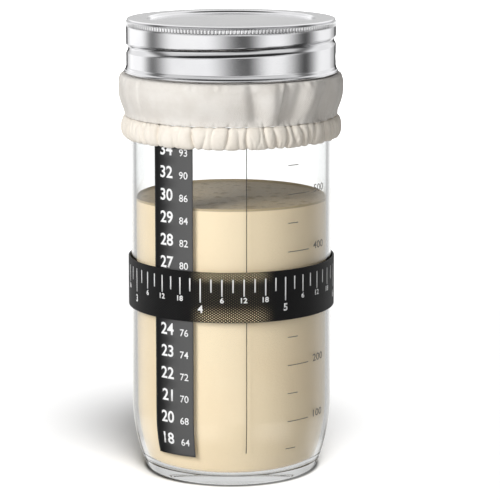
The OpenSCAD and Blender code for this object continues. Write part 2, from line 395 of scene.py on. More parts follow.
hollow_r = np.linspace(0, FOOT_RING_R, 24)
hollow = np.stack([hollow_r, PUSH_UP * (1 - (hollow_r / FOOT_RING_R) ** 2)], axis=1)
glass_outline = path(
    hollow, heel(0, FOOT_R, 0)[::-1],
    (jar_r, neck_z - SHOULDER_H), (neck_r, neck_z),
    arc(neck_r - lip_r, jar_h - lip_r, lip_r, 0, 180, 16),
    (neck_r - WALL, neck_z - WALL), (jar_r - WALL, neck_z - SHOULDER_H - WALL),
    heel(WALL, INNER_CORNER_R, FLOOR), (0, FLOOR))
glass_outline = dense(glass_outline, 2.0)
print("glass outline:", len(glass_outline), "points")

# %% [markdown]
# Clear glass is a Principled shader with full transmission. Lamps can't be sampled through bent
# light, so shadow rays and the soft light between the pieces pass straight through: the starter
# is then lit cleanly, and what the camera sees is still bent. A ray that is thrown back inside the
# thick foot again and again is let out after a few turns, or else it would be lost and leave black.

# %% The finish of the glass
MAX_TURNS = 4.5


def clear_glass():
    material, tree, shader = start_material(
        "clear_glass", Roughness=0.0, IOR=1.45, Transmission_Weight=1.0)
    shader.inputs["Base Color"].default_value = (0.985, 0.995, 0.992, 1)
    ray = add(tree, "ShaderNodeLightPath").outputs
    straight = sum_up(tree, "MAXIMUM", ray["Is Shadow Ray"], ray["Is Diffuse Ray"])
    straight = sum_up(tree, "MAXIMUM", straight, sum_up(tree, "GREATER_THAN", ray["Ray Depth"], MAX_TURNS))
    passing = add(tree, "ShaderNodeBsdfTransparent", {"Color": (0.97, 0.98, 0.98, 1)})
    mixed = add(tree, "ShaderNodeMixShader", {0: straight})
    tree.links.new(shader.outputs[0], mixed.inputs[1])
    tree.links.new(passing.outputs[0], mixed.inputs[2])
    output = next(n for n in tree.nodes if n.type == "OUTPUT_MATERIAL")
    tree.links.new(mixed.outputs[0], output.inputs["Surface"])
    return material


jar_glass = surface("jar_glass", turned(glass_outline), crease=60)
place(jar_glass, "jar", "glass_jar", clear_glass(), "glass_jar")


# %% [markdown]
# ## The starter
#
# A risen starter is a wet foam. Its side is smooth where it presses on the glass, it climbs the
# wall a little, and its top is domed by bubbles. The side is a turned profile, and the top is a disc
# of rings whose height is a sum of many small round domes at seeded random places.

# %% The starter's body and its bubbly top
GAP = 0.05
MENISCUS = 0.8
BUBBLES = 320

surface_z = starter_edge_z - MENISCUS
draws = np.random.default_rng(11)
bubble_at = 0.97 * starter_r * np.sqrt(draws.random(BUBBLES))
bubble_turn = draws.random(BUBBLES) * 2 * np.pi
bubble_r = 0.5 + 1.7 * draws.random(BUBBLES) ** 3
bubble_x = bubble_at * np.cos(bubble_turn)
bubble_y = bubble_at * np.sin(bubble_turn)


def bubble_height(x, y):
    """Sum of h (1 - d^2)^2 over the bubbles, where d is the distance in bubble radii, below 1."""
    away = (x[..., None] - bubble_x) ** 2 + (y[..., None] - bubble_y) ** 2
    near = np.clip(1 - away / bubble_r ** 2, 0, 1)
    return (0.16 * bubble_r * near ** 2).sum(axis=-1)


def starter_grid(columns=256):
    """The side and bottom turned from their profile, the top with its meniscus and bubbles."""
    top_r = np.linspace(0, starter_r, 90)
    rise = MENISCUS * np.clip(1 - (starter_r - top_r) / (2 * MENISCUS), 0, 1) ** 2
    top = np.stack([top_r, surface_z + rise], axis=1)
    side = path(heel(WALL + GAP, INNER_CORNER_R, FLOOR + GAP), (0, FLOOR + GAP))
    grid = turned(path(top, dense(path(top[-1], side), 2.0)[1:]), columns)
    x, y = grid[:len(top), :, 0], grid[:len(top), :, 1]
    rim = smooth((starter_r - np.hypot(x, y)) / 3)
    grid[:len(top), :, 2] += rim * (bubble_height(x, y) - 0.1)
    return grid


def starter_dough():
    """Cream flour paste: warm, matt with a wet film, with a slow change of tone and fine pores. Its top is
    painted darker, as painted shade under the lid.
    """
    material, tree, shader = start_material("starter_dough", Coat_Roughness=0.3)
    tone, grain = cloudy_at(tree, 0.03, 0.0011)
    cream = blend_colours(tree, tone, linear(252, 228, 191), linear(254, 232, 196))
    where = add(tree, "ShaderNodeTexCoord").outputs["Object"]
    height = add(tree, "ShaderNodeSeparateXYZ", {"Vector": where}).outputs["Z"]
    # Painted shade: above the starter's edge its colour is blended towards a grey brown, for the shade under
    # the lid, and its wet film is thinner there.
    shaded_top = ramp_between(tree, height, (surface_z - 0.35) * MM, (surface_z + 0.05) * MM)
    cream = blend_colours(tree, sum_up(tree, "MULTIPLY", shaded_top, 0.85), cream, linear(180, 158, 122))
    pores = ramp_between(tree, grain, 0.05, 0.35, 0.993, 1.0)
    coloured = add(tree, "ShaderNodeHueSaturation", {"Color": cream, "Value": pores})
    feed(tree, shader, Base_Color=coloured.outputs["Color"],
         Coat_Weight=ramp_between(tree, shaded_top, 0, 1, 0.15, 0.04),
         Roughness=ramp_between(tree, grain, 0, 1, 0.42, 0.6), Normal=bump(tree, grain, 0.00003))
    return material


risen_starter = surface("risen_starter", starter_grid(), crease=50)
place(risen_starter, "jar", "starter", starter_dough(), "starter")


# %% [markdown]
# ## The lid
#
# The lid is drawn from one sheet of tinned steel, half a millimetre thick. Its panel is pressed
# down, a waist and a toothed ring give the fingers a grip, a thread is rolled into the wall and the
# bottom edge is curled. The wall could be turned and the thread cut by a boolean, but a rolled
# thread is soft: here it is a dip in the radius that follows a helix, the same outside and inside.

# %% The lid's profile, outside and inside
SHEET = 0.5
PANEL_R = 32.0
PANEL_SLOPE = 1.4
PANEL_DEPTH = 1.0
EDGE_W = 1.0           # the top's edge is rolled off gently, as a quarter of an ellipse
EDGE_H = 0.35
# Below the edge, as (out from the edge, down from the top): a fine groove, then the waist
RIM_GROOVE = [(0, 0.38), (-0.3, 0.7), (-0.13, 0.92)]
WAIST_H = 0.97
GRIP_H = 2.08
ROLL_R = 0.8
ROLL_START = 45
ROLL_END = -200
# The wall's foot, as (out from the wall, up from the roll's middle): a small shoulder, a band, a step
SHOULDER = [(0, 2.05), (0.04, 1.9), (0.18, 1.64), (0.35, 0.72)]
SHOULDER_INSIDE = [(-0.14, 0.65), (-0.3, 1.5), (-0.5, 1.9)]

roll_x = roll_reach - ROLL_R
wall_r = roll_reach - 0.85
inner_r = wall_r - SHEET
top_r = wall_r - 0.25
seat_r = top_r - 0.12 - SHEET
grip_top = lid_top - WAIST_H
grip_foot = grip_top - GRIP_H
roll_z = lid_foot + ROLL_R
shoulder_z = roll_z + SHOULDER[0][1]


def panel_step(top):
    """The slope between the sunken panel and the rim: half a cosine wave."""
    t = np.linspace(0, 1, 13)
    return np.stack([PANEL_R + PANEL_SLOPE * t, top - PANEL_DEPTH * (1 + np.cos(np.pi * t)) / 2], 1)


lid_outside = path(
    (0, lid_top - PANEL_DEPTH), panel_step(lid_top),
    arc(0, 0, 1, 90, 0, 12) * [EDGE_W, EDGE_H] + [top_r - EDGE_W, lid_top - EDGE_H],
    np.array(RIM_GROOVE) * [1, -1] + [top_r, lid_top],
    (wall_r - SHEET / 4, grip_top), (wall_r - SHEET / 8, grip_foot), (wall_r, grip_foot - 0.3),
    np.array(SHOULDER) + [wall_r, roll_z], arc(roll_x, roll_z, ROLL_R, ROLL_START, ROLL_END, 36))
lid_inside = path(
    arc(roll_x, roll_z, ROLL_R - SHEET, ROLL_END, ROLL_START, 24),
    np.array(SHOULDER_INSIDE) + [wall_r, roll_z],
    (inner_r, grip_foot - 2 * SHEET), (seat_r, grip_foot),
    arc(seat_r - SHEET / 2, lid_top - 1.5 * SHEET, SHEET / 2, 0, 90, 5),
    panel_step(lid_top - SHEET)[::-1], (0, lid_top - SHEET - PANEL_DEPTH))

# %% [markdown]
# The thread starts behind the right side, goes down once round the lid and a little further, and
# fades out at both ends. Seen from above it turns clockwise as it goes down, as on any jar that
# closes clockwise.

# %% The rolled thread as a dip in the radius
PITCH = 7.0
THREAD_Z = 173.7       # height of its deepest line on the right side
THREAD_DEPTH = 0.8
ABOVE = 1.15           # how far the groove reaches above that line
BELOW = 2.2            # and below it
THREAD_FROM = -60
THREAD_TO = 372
THREAD_FADE = 38


def groove(up):
    """(1 - t^2)^1.2, where t is the distance from the deepest line as a share of the reach."""
    t = up / np.where(up > 0, ABOVE, BELOW)
    return np.clip(1 - t * t, 0, 1) ** 1.2


def rolled_in(angle, z):
    """How far the wall stands in: a groove round the helix, faded in and out along its run."""
    clockwise = np.degrees(-angle) % 360
    dip = 0 * z
    for lap in (-1, 0, 1):
        run = clockwise + 360 * lap
        fade = smooth((run - THREAD_FROM) / THREAD_FADE) * smooth((THREAD_TO - run) / THREAD_FADE)
        dip = dip + fade * THREAD_DEPTH * groove(z - THREAD_Z + PITCH * run / 360)
    return dip


def lid_grid(columns=288):
    """The turned profile with the thread pressed into its wall, and nowhere else."""
    outline = np.concatenate([dense(lid_outside, 0.3), dense(lid_inside, 0.6)])
    grid = turned(outline, columns)
    angle = np.linspace(0, 2 * np.pi, columns + 1)[None, :]
    r, z = outline[:, :1], outline[:, 1:]
    on_wall = (np.abs(r - wall_r + SHEET / 2) < SHEET) * smooth((grip_foot - SHEET - z) / 0.6)
    on_wall = on_wall * (z > shoulder_z)
    new_r = r - on_wall * rolled_in(angle, z + 0 * angle)
    grid[..., 0], grid[..., 1] = new_r * np.cos(angle), new_r * np.sin(angle)
    return grid


# %% [markdown]
# The teeth are pressed through the ring from inside, so each is a smooth rib. One wave round the
# ring makes all of them: the radius rises with a power of a cosine, and the ring's own ends slope in
# so that the teeth die out at the top and bottom.

# %% The toothed grip ring
TEETH = 185
TOOTH_DEPTH = 0.3


def grip_grid(columns_per_tooth=6):
    """Radius = root + depth x wave(angle) x shoulder(height), closed behind the sheet."""
    angle = np.linspace(0, 2 * np.pi, TEETH * columns_per_tooth + 1)[None, :]
    root = wall_r - SHEET / 4 + TOOTH_DEPTH / 4
    t = np.linspace(0, 1, 11)[:, None]
    wave = (0.5 + 0.5 * np.cos(TEETH * angle)) ** 0.6
    shoulder = np.sin(np.pi * t) ** 0.15
    r_out = root + TOOTH_DEPTH * wave * shoulder - 0.12 * (1 - shoulder)
    z_out = grip_foot + GRIP_H * t + 0 * angle
    r_back = 0 * angle + wall_r - 0.7 * SHEET
    r = np.concatenate([r_out, r_back, r_back, r_out[:1]])
    z = np.concatenate([z_out, z_out[-1:], z_out[:1], z_out[:1]])
    depth = np.concatenate([1 - wave + 0 * t, 0 * angle, 0 * angle, 1 - wave])
    grid = np.stack([r * np.cos(angle), r * np.sin(angle), z], axis=-1)
    return grid, np.stack([depth, z - grip_foot], axis=-1)


# %% [markdown]
# Tinned steel is bright and a little soft in its shine. The wall carries fine lines from the
# drawing, all the way round, and the top has a finer, even grain. The lines are a noise that is
# stretched along the angle, so it is read on height and radius only.

# %% The finish of the metal
def bright_steel(name, gaps=False):
    """Tinned steel. With gaps, it is duller in the gaps of the piece's own map, and its colour there is
    painted: dark in the gaps as painted shade, lighter on the tooth tops as a painted highlight.
    """
    material, tree, shader = start_material(name, Metallic=1.0)
    where = add(tree, "ShaderNodeTexCoord").outputs["Object"]
    split = add(tree, "ShaderNodeSeparateXYZ", {"Vector": where})
    flat = sum_up(tree, "POWER", split.outputs["X"], 2.0)
    flat = sum_up(tree, "ADD", flat, sum_up(tree, "POWER", split.outputs["Y"], 2.0))
    radius = sum_up(tree, "SQRT", flat)
    rings = add(tree, "ShaderNodeCombineXYZ", {"X": radius, "Z": split.outputs["Z"]})
    lines = add(tree, "ShaderNodeTexNoise", {"Vector": rings.outputs[0], "Scale": 9000.0})
    tone, grain = cloudy_at(tree, 0.02, 0.0004)
    colour = blend_colours(tree, tone, linear(198, 198, 200), linear(206, 206, 207))
    rough = ramp_between(tree, lines.outputs["Fac"], 0.3, 0.7, 0.09, 0.15)
    relief = sum_up(tree, "ADD", lines.outputs["Fac"], sum_up(tree, "MULTIPLY", grain, 0.3))
    if gaps:
        tooth_map = add(tree, "ShaderNodeUVMap", uv_map="UVMap").outputs["UV"]
        depth = add(tree, "ShaderNodeSeparateXYZ", {"Vector": tooth_map}).outputs["X"]
        # Painted shade and highlight: the colour goes from a light grey on the tooth tops to a dark grey in the
        # gaps between them.
        shade = ramp_between(tree, depth, 0.35, 0.9)
        colour = blend_colours(tree, shade, linear(228, 228, 229), linear(160, 160, 161))
        rough = sum_up(tree, "ADD", rough, 0.12)
    feed(tree, shader, Base_Color=colour, Roughness=rough, Normal=bump(tree, relief, 0.0000012))
    return material


lid_metal = surface("lid_metal", lid_grid(), crease=50)
place(lid_metal, "lid", "lid_shell", bright_steel("bright_steel"), "lid_shell")
lid_grip = surface("lid_grip_teeth", *grip_grid(), crease=60)
place(lid_grip, "lid", "lid_shell", bright_steel("grip_steel_painted_shade", gaps=True))


# %% [markdown]
# ## The cloth cover
#
# The cover is a round of fine cotton. It lies over the mouth, goes down inside the lid as a smooth
# sleeve, and puffs out below it as a skirt before the elastic draws it in. A simulation would drape
# it, but the folds that matter are few and known, so they are terms of a formula: valleys at chosen
# angles that slant as they go down, deep on the right side and shallow elsewhere.

# %% The shape of the cloth
CLOTH = 0.35
SAG = 1.6
PUFF = 3.35
SHOULDER_U = 0.75
LIFT = 0.8
BUNCH = 1.1
SEAM_FLARE = 0.8
SLEEVE_GAP = 0.1
PULL = 0.7             # how far the gathers draw in the foot of the skirt

mouth_r = neck_r - WALL
crown_z = cover_top
sleeve_r = neck_r + SLEEVE_GAP + CLOTH
waist_r = jar_r + BUNCH + CLOTH
skirt_top = lid_foot - 0.3
skirt_h = skirt_top - skirt_foot

# Each fold: angle from the front to the right, width to its left and to its right, slant from foot
# to top, all in degrees, and its depth in millimetres
FRONT_FOLDS = [
    (12.4, 3.4, 6.0, -3.5, 1.9), (28.6, 1.7, 4.4, 3.5, 2.9), (36.3, 4.4, 3.4, 5.0, 2.6),
    (58.5, 6.6, 6.5, 7.0, 3.4), (44.3, 2.4, 2.4, 6.5, -0.6), (21.5, 4.5, 2.6, 0.0, -0.9),
    (76, 4.0, 4.0, 4.0, 0.8),
    (-6, 5.0, 3.0, 1.0, 0.14), (-17, 7.0, 5.0, -2.0, 0.12), (-36, 6.0, 8.0, 3.0, 0.16),
    (-53, 1.0, 3.0, -1.5, 0.3), (-63, 2.0, 3.0, 2.0, 0.3), (-76, 3.0, 4.0, -3.0, 0.5)]


def back_folds(first=88, last=272, count=13):
    """Folds round the back, at seeded uneven places."""
    dice = np.random.default_rng(5)
    places = np.linspace(first, last, count) + dice.uniform(-4, 4, count)
    left, right = dice.uniform(2.4, 4.5, count), dice.uniform(2.4, 6, count)
    slants = dice.uniform(-9, 9, count)
    depths = dice.uniform(0.7, 1.7, count)
    return list(zip(places, left, right, slants, depths))


FOLDS = np.array(FRONT_FOLDS + back_folds())


# Each gather: angle from the front, slant from foot to top and width, in degrees, share of the depth
FRONT_GATHERS = [
    (-80, 1.0, 1.5, 0.5), (-75.5, 2.0, 1.5, 0.6), (-71.2, 2.5, 1.1, 0.65), (-67, 0.0, 1.0, 0.5),
    (-62.5, -2.0, 1.0, 0.4), (-58.6, 3.0, 1.0, 0.6), (-54.8, 1.0, 0.8, 0.65), (-50.4, -1.0, 0.8, 1.1),
    (-46, -2.5, 0.7, 0.4), (-41.2, 0.5, 0.8, 1.1), (-37.5, 2.0, 1.0, 0.6), (-31.5, -1.5, 1.1, 0.7),
    (-26.6, 1.5, 0.9, 0.5), (-19.8, -1.5, 0.8, 1.1), (-13.7, 2.5, 1.1, 0.7), (-8.8, 1.0, 0.9, 0.5),
    (-1.8, 2.2, 0.9, 1.0), (4.3, -1.0, 1.2, 0.5), (8.9, 0.0, 0.9, 1.05), (14.2, 2.0, 0.8, 0.3),
    (18.9, -2.5, 0.9, 1.0), (23.8, -2.0, 1.0, 1.0), (30.2, 0.5, 0.9, 0.9), (35.6, -3.5, 1.0, 0.95),
    (39.9, -2.0, 0.9, 0.9), (45.4, -1.0, 1.0, 1.05), (49.4, 2.5, 1.2, 0.9), (55.5, 3.0, 1.2, 1.0),
    (60, -1.5, 1.3, 1.0), (65, 1.0, 1.2, 1.0), (70, -2.0, 1.3, 1.05), (75.5, 1.0, 1.4, 0.9)]


def back_gathers(first=80.5, last=277, count=32):
    """Gathers round the back, at seeded uneven places."""
    dice = np.random.default_rng(7)
    places = np.linspace(first, last, count) + dice.uniform(-1.8, 1.8, count)
    return list(zip(places, dice.uniform(-3, 3, count), dice.uniform(1, 1.8, count),
                    dice.uniform(0.5, 1, count)))


GATHERS = FRONT_GATHERS + back_gathers()


print(len(GATHERS), "gathers in the hem")


def gathered(angle, v):
    """Sum of share x exp(-|offset / width|^1.4) over the gathers, each fading along its height."""
    front = np.degrees(angle) + 90
    total = 0
    for k, (at, slant, width, share) in enumerate(GATHERS):
        crook = 1.1 * math.sin(2.4 * k) * np.sin(np.pi * v)
        off = (front - at - slant * (v - 0.5) - crook + 180) % 360 - 180
        fade = 1 - 0.6 * abs(math.sin(1.7 * k)) * (1 - v if math.sin(1.7 * k) > 0 else v)
        total = total + share * fade * (np.exp(-np.abs(off / width) ** 1.4)
                                        + 0.15 * np.exp(-(off / width / 3) ** 2))
    return total


def skirt_radius(u):
    """From the waist at u = 0 the puff swells as sin(pi u^1.5)^0.6, with a small flare right over the
    seam. From SHOULDER_U it turns in to the sleeve at u = 1 as (1 - q^3.5)^0.55."""
    swell = np.sin(np.pi * np.minimum(u, 0.63) ** 1.5).clip(0) ** 0.6
    full = waist_r + SEAM_FLARE * np.exp(-(u / 0.1) ** 2) + PUFF * swell
    q = np.clip((u - SHOULDER_U) / (1 - SHOULDER_U), 0, 1)
    return sleeve_r + (full - sleeve_r) * (1 - q ** 3.5) ** 0.55


def skirt_lift(u):
    """How far the shoulder of the puff stands up round the lid's roll, in millimetres."""
    return LIFT * np.exp(-((u - 0.94) / 0.045) ** 2)


def fold_depth(angle, u):
    """Sum of depth x exp(-(offset / width)^2) x sqrt(sin(pi u)) over the folds, with soft lumps,
    and small pleats where the cloth comes out under the lid."""
    front = np.degrees(angle) + 90
    total = (0.06 * np.sin(5 * angle + 1.0) + 0.05 * np.sin(13 * angle + 4 * u)
             + 0.05 * np.sin(31 * angle - 3 * u) * np.sin(4 * angle + 2))
    for at, left, right, slant, depth in FOLDS:
        off = (front - at - slant * (u - 0.5) + 180) % 360 - 180
        total = total + depth * np.exp(-(off / np.where(off < 0, left, right)) ** 2)
    total = total * np.sqrt(np.sin(np.pi * u).clip(0))
    pleats = np.sin(58 * angle + 2 * np.sin(7 * angle)) * np.sin(11 * angle + 1) ** 2
    return total + 0.3 * pleats * np.exp(-((u - 0.93) / 0.07) ** 2)


def cover_grid(columns=720):
    """The outer face of the cloth: crown, lip, sleeve and skirt, from the middle outwards. At its foot
    the skirt is drawn in with the gathers of the hem."""
    angle = np.linspace(0, 2 * np.pi, columns + 1)[None, :]
    r = np.linspace(0, mouth_r, 12)
    crown = np.stack([r, crown_z - SAG * (1 - (r / mouth_r) ** 2)], axis=1)
    lip_x, lip_z = neck_r - lip_r, jar_h - lip_r
    bend = np.radians(np.linspace(90, 0, 9))
    over = np.stack([lip_x + (sleeve_r - lip_x) * np.cos(bend),
                     lip_z + (crown_z - lip_z) * np.sin(bend)], axis=1)
    sleeve = np.stack([np.full(10, sleeve_r), np.linspace(lip_z, skirt_top, 11)[1:]], axis=1)
    upper = path(crown, over, sleeve)
    u = (1 + np.cos(np.linspace(0, np.pi, 53)[1:, None])) / 2
    skirt_r = skirt_radius(u) - fold_depth(angle, u) - PULL * gathered(angle, 1.0) * np.exp(-(u / 0.09) ** 2)
    all_r = np.concatenate([upper[:, :1] + 0 * angle, skirt_r])
    skirt_z = skirt_foot + skirt_h * u + skirt_lift(u)
    all_z = np.concatenate([upper[:, 1:] + 0 * angle, skirt_z + 0 * angle])
    grid = np.stack([all_r * np.cos(angle), all_r * np.sin(angle), all_z], axis=-1)
    run = run_length(np.stack([all_r.mean(axis=1), all_z.mean(axis=1)], axis=1))
    uv = np.stack(np.meshgrid(waist_r * angle[0], run), axis=-1)
    return grid, uv


# %% [markdown]
# The cloth is a washed muslin: fine plain weave, dull, and never one tone. Its threads are a third
# of a millimetre, so the weave is a relief, and slubs and a faint mottling give it its tone.

# %% The finish of the cloth
def muslin(name, light, shade, thread=0.34):
    material, tree, shader = start_material(
        name, Roughness=0.9, Sheen_Weight=0.15, Sheen_Roughness=0.5, Specular_IOR_Level=0.2)
    tone, grain = cloudy_at(tree, 0.009, 0.0007)
    height, gap = weave_at(tree, thread)
    colour = blend_colours(tree, sum_up(tree, "MULTIPLY", tone, 0.6), light, shade)
    colour = blend_colours(tree, sum_up(tree, "MULTIPLY", gap, 0.25), colour, shade)
    relief = sum_up(tree, "ADD", height, sum_up(tree, "MULTIPLY", grain, 0.8))
    feed(tree, shader, Base_Color=colour, Normal=bump(tree, relief, 0.00006))
    return material


cover_points, cover_map = cover_grid()
cover_cloth = surface("cover_cloth", cover_points, cover_map, crease=80)
wall = cover_cloth.modifiers.new("cloth thickness", "SOLIDIFY")
wall.thickness = CLOTH * MM
wall.offset = -1
place(cover_cloth, "jar", "cloth_cover",
      muslin("cover_muslin", linear(226, 222, 216), linear(211, 205, 197)), "cloth_cover")


# %% [markdown]
# ## The gathered hem
#
# Below the skirt the cloth is folded round an elastic and bunched into close gathers. Each gather
# is a narrow, crooked valley in a round welt, and no two are alike: where they lie in front is set,
# and the rest of the way round they are drawn from a seed. Some fade upwards and some downwards.

# %% The shape of the hem
GATHER_DEPTH = 1.4
hem_h = hem_top - hem_foot
hem_in_r = jar_r + 0.36
hem_full_r = 44.1
channel_r = elastic_r + 0.06

def fine_creases(angle, v, count=110):
    """Many shallow creases at seeded places, each on a part of the height only."""
    dice = np.random.default_rng(21)
    front = np.degrees(angle) + 90
    total = 0
    for at, slant, width, share, middle in dice.uniform(
            [-90, -5, 0.5, 0.06, 0.1], [270, 5, 1.0, 0.22, 0.95], (count, 5)):
        off = (front - at - slant * (v - 0.5) + 180) % 360 - 180
        total = total + share * np.exp(-(off / width) ** 2 - ((v - middle) / 0.3) ** 2)
    return total


def hem_grid(columns=1080):
    """Outer face r = waist + swell x sin(pi v^0.95)^0.36 less the gathers, closed by the flanges."""
    angle = np.linspace(0, 2 * np.pi, columns + 1)[None, :]
    v = (1 - np.cos(np.linspace(0, np.pi, 25)[:, None])) / 2
    sunk = gathered(angle, v) + fine_creases(angle, v)
    body = np.sin(np.pi * v ** 0.95).clip(0)
    r_out = waist_r - 0.1 + (hem_full_r - waist_r + 0.1) * body ** 0.36
    r_out = r_out - GATHER_DEPTH * sunk * body ** 0.35
    z_out = hem_foot + hem_h * v + (0.75 * sunk - 0.15) * (1 - v) ** 3 - 0.7 * sunk * v ** 4
    inner = [(hem_in_r, -0.35), (hem_in_r, -1.0), (channel_r, -1.03),
             (channel_r, 1.03 - hem_h), (hem_in_r, 1.0 - hem_h), (hem_in_r, 0.6 - hem_h)]
    r_in = np.array([r for r, _ in inner])[:, None] + 0 * angle
    z_in = np.array([hem_top + dz for _, dz in inner])[:, None] + 0 * angle
    r = np.concatenate([r_out, r_in, r_out[:1]])
    z = np.concatenate([z_out, z_in, z_out[:1]])
    grid = np.stack([r * np.cos(angle), r * np.sin(angle), z], axis=-1)
    run = run_length(np.stack([r.mean(axis=1), z.mean(axis=1)], axis=1))
    return grid, np.stack(np.meshgrid(1.6 * waist_r * angle[0], run), axis=-1)


hem_points, hem_map = hem_grid()
cover_hem = surface("cover_hem", hem_points, hem_map, crease=80)
place(cover_hem, "jar", "cloth_hem",
      muslin("hem_muslin", linear(240, 233, 222), linear(224, 215, 202)), "cloth_hem")

# %% [markdown]
# The cover was cut as a round. Its flat area is the crown, the sleeve and the skirt laid out with
# the fullness that the gathers take up, and the hem goes with it.


# %% [markdown]
# ## The elastic in the hem
#
# Flat braided elastic has ribs that run along it, one for each rubber strand. Seen end on, its
# face is a row of small waves.

# %% The elastic
ELASTIC_T = 0.7
RIBS = 8


def elastic_outline():
    """A flat band whose faces wave with the ribs, as a closed outline."""
    t = np.linspace(0, 1, 8 * RIBS + 1)
    wave = 0.05 * (1 - np.cos(2 * np.pi * RIBS * t))
    z = elastic_foot + (elastic_top - elastic_foot) * t
    outer = np.stack([elastic_r - 0.1 + wave, z], axis=1)
    inner = np.stack([elastic_r - ELASTIC_T + 0.1 - wave, z], axis=1)[::-1]
    return path(outer, inner, outer[:1])


def elastic_finish():
    material, tree, shader = start_material("white_elastic", Roughness=0.75)
    tone, grain = cloudy_at(tree, 0.004, 0.0004)
    colour = blend_colours(tree, tone, linear(236, 235, 230), linear(224, 222, 216))
    feed(tree, shader, Base_Color=colour, Normal=bump(tree, grain, 0.00005))
    return material


hem_braid = surface("hem_elastic_braid", turned(elastic_outline(), 180))
place(hem_braid, "jar", "hem_elastic", elastic_finish(), "hem_elastic")


# %% [markdown]
# ## Print on curved surfaces
#
# Marks are thin films of ink. Each mark starts flat, as a bar or a number in millimetres. Then it
# is cut into narrow upright strips and laid on the jar: its x becomes an angle, and its y a height.
# The numbers are the plain digits of Blender's own text, made into a mesh.

# %% Flat marks
STRIP_STEP = 0.6


def bar(width, height, step=STRIP_STEP, row=4.0):
    """A rectangle centred on x = 0 with its foot at y = 0, as points and triangles."""
    columns = max(1, math.ceil(width / step))
    rows = max(1, math.ceil(height / row))
    x, y = np.meshgrid(np.linspace(-width / 2, width / 2, columns + 1), np.linspace(0, height, rows + 1))
    index = np.arange(x.size).reshape(x.shape)
    a, b, c, d = index[:-1, :-1], index[:-1, 1:], index[1:, 1:], index[1:, :-1]
    triangles = np.stack([np.stack([a, b, c], -1), np.stack([a, c, d], -1)]).reshape(-1, 3)
    return np.stack([x.ravel(), y.ravel()], axis=1), triangles


def number(text, height, weight=0.0, squeeze=1.0):
    """Digits of a height, centred on (0, 0), with their width times squeeze."""
    letters = bpy.data.curves.new("digits", "FONT")
    letters.body = text
    letters.offset = weight
    letters.resolution_u = 5
    holder = bpy.data.objects.new("digits", letters)
    bpy.context.scene.collection.objects.link(holder)
    bpy.context.view_layer.update()
    mesh = bpy.data.meshes.new_from_object(holder.evaluated_get(bpy.context.evaluated_depsgraph_get()))
    work = bmesh.new()
    work.from_mesh(mesh)
    corners = np.array([v.co[:2] for v in work.verts])
    low, high = corners.min(axis=0), corners.max(axis=0)
    scale = height / (high - low)[1] * np.array([squeeze, 1])
    width = scale[0] * (high - low)[0]
    shift = Vector((*(-(low + high) / 2), 0))
    bmesh.ops.translate(work, verts=work.verts, vec=shift)
    bmesh.ops.scale(work, verts=work.verts, vec=(*scale, 1))
    for x in np.arange(-width / 2 + STRIP_STEP, width / 2, STRIP_STEP):
        parts = [*work.verts, *work.edges, *work.faces]
        bmesh.ops.bisect_plane(work, geom=parts, dist=1e-6, plane_co=(x, 0, 0), plane_no=(1, 0, 0))
    bmesh.ops.triangulate(work, faces=work.faces)
    work.verts.index_update()
    points = np.array([v.co[:2] for v in work.verts])
    triangles = np.array([[v.index for v in f.verts] for f in work.faces])
    work.free()
    bpy.data.objects.remove(holder)
    bpy.data.meshes.remove(mesh)
    return points, triangles


def laid_on(mark, front_angle, z, radius):
    """A flat mark on the jar: x / r is added to the angle from the front, y to the height."""
    points, triangles = mark
    height = z + points[:, 1]
    r = radius(height)
    angle = math.radians(front_angle) + points[:, 0] / r
    return np.stack([r * np.sin(angle), -r * np.cos(angle), height], axis=1), triangles


def printed(name, marks, ink):
    """All marks as one piece: thin closed films of ink."""
    offset, points, faces = 0, [], []
    for mark_points, triangles in marks:
        points.append(mark_points)
        faces.append(triangles + offset)
        offset += len(mark_points)
    piece = mesh_of(name, np.concatenate(points), np.concatenate(faces), crease=180)
    film = piece.modifiers.new("film of ink", "SOLIDIFY")
    film.thickness = 0.012 * MM
    film.offset = -1
    piece.data.materials.append(ink)
    return piece


# %% [markdown]
# Ink is nearly flat in colour, so its finish is in its shine and its edges: a screen print is a
# little uneven, with a dull, pebbled skin.

# %% Inks
def ink(name, colour, worn, roughness=0.5):
    material, tree, shader = start_material(name)
    tone, grain = cloudy_at(tree, 0.006, 0.00025)
    shade = blend_colours(tree, sum_up(tree, "MULTIPLY", tone, 0.5), colour, worn)
    feed(tree, shader, Base_Color=shade, Normal=bump(tree, grain, 0.00001),
         Roughness=ramp_between(tree, grain, 0, 1, roughness - 0.08, roughness + 0.08))
    return material


def wear(piece, body):
    """Puts a printed piece on its body."""
    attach(piece, body)
    print(f"{piece.name}: {len(piece.data.polygons)} faces, rides on {body}")


# %% [markdown]
# ## The volume scale and the upright line
#
# The glass carries a scale in steps of fifty millilitres, with a number at each hundred, and one
# thin upright line to set the time band by. Their places follow from the bore: a hundred
# millilitres fill 22.6 mm of it.

# %% Print on the glass
STEP_100 = 22.6
SCALE_ZERO = 3.1       # height at which the scale would read nothing
SCALE_LEFT = 33.8      # angle from the front at which every tick starts
LONG_TICK = 15.6       # degrees
SHORT_TICK = 7.0
LINE_W = 0.32
INK_LIFT = 0.03
LINE_ANGLE = 8.9
LINE_FOOT = 14.3


def glass_skin(z):
    """Radius at which ink lies on the glass."""
    return jar_side(z) + INK_LIFT


def scale_marks():
    """A tick each 50 ml, long at each 100 ml, with its number to the right."""
    marks = []
    for step in range(1, 12):
        span = LONG_TICK if step % 2 == 0 else SHORT_TICK
        z = SCALE_ZERO + STEP_100 * step / 2
        tick = bar(math.radians(span) * jar_r, LINE_W)
        marks.append(laid_on(tick, SCALE_LEFT + span / 2, z, glass_skin))
        if step % 2 == 0:
            digits = number(str(50 * step), 2.9, weight=0.004, squeeze=1.25)
            marks.append(laid_on(digits, 59.0, z + 1.1, glass_skin))
    return marks


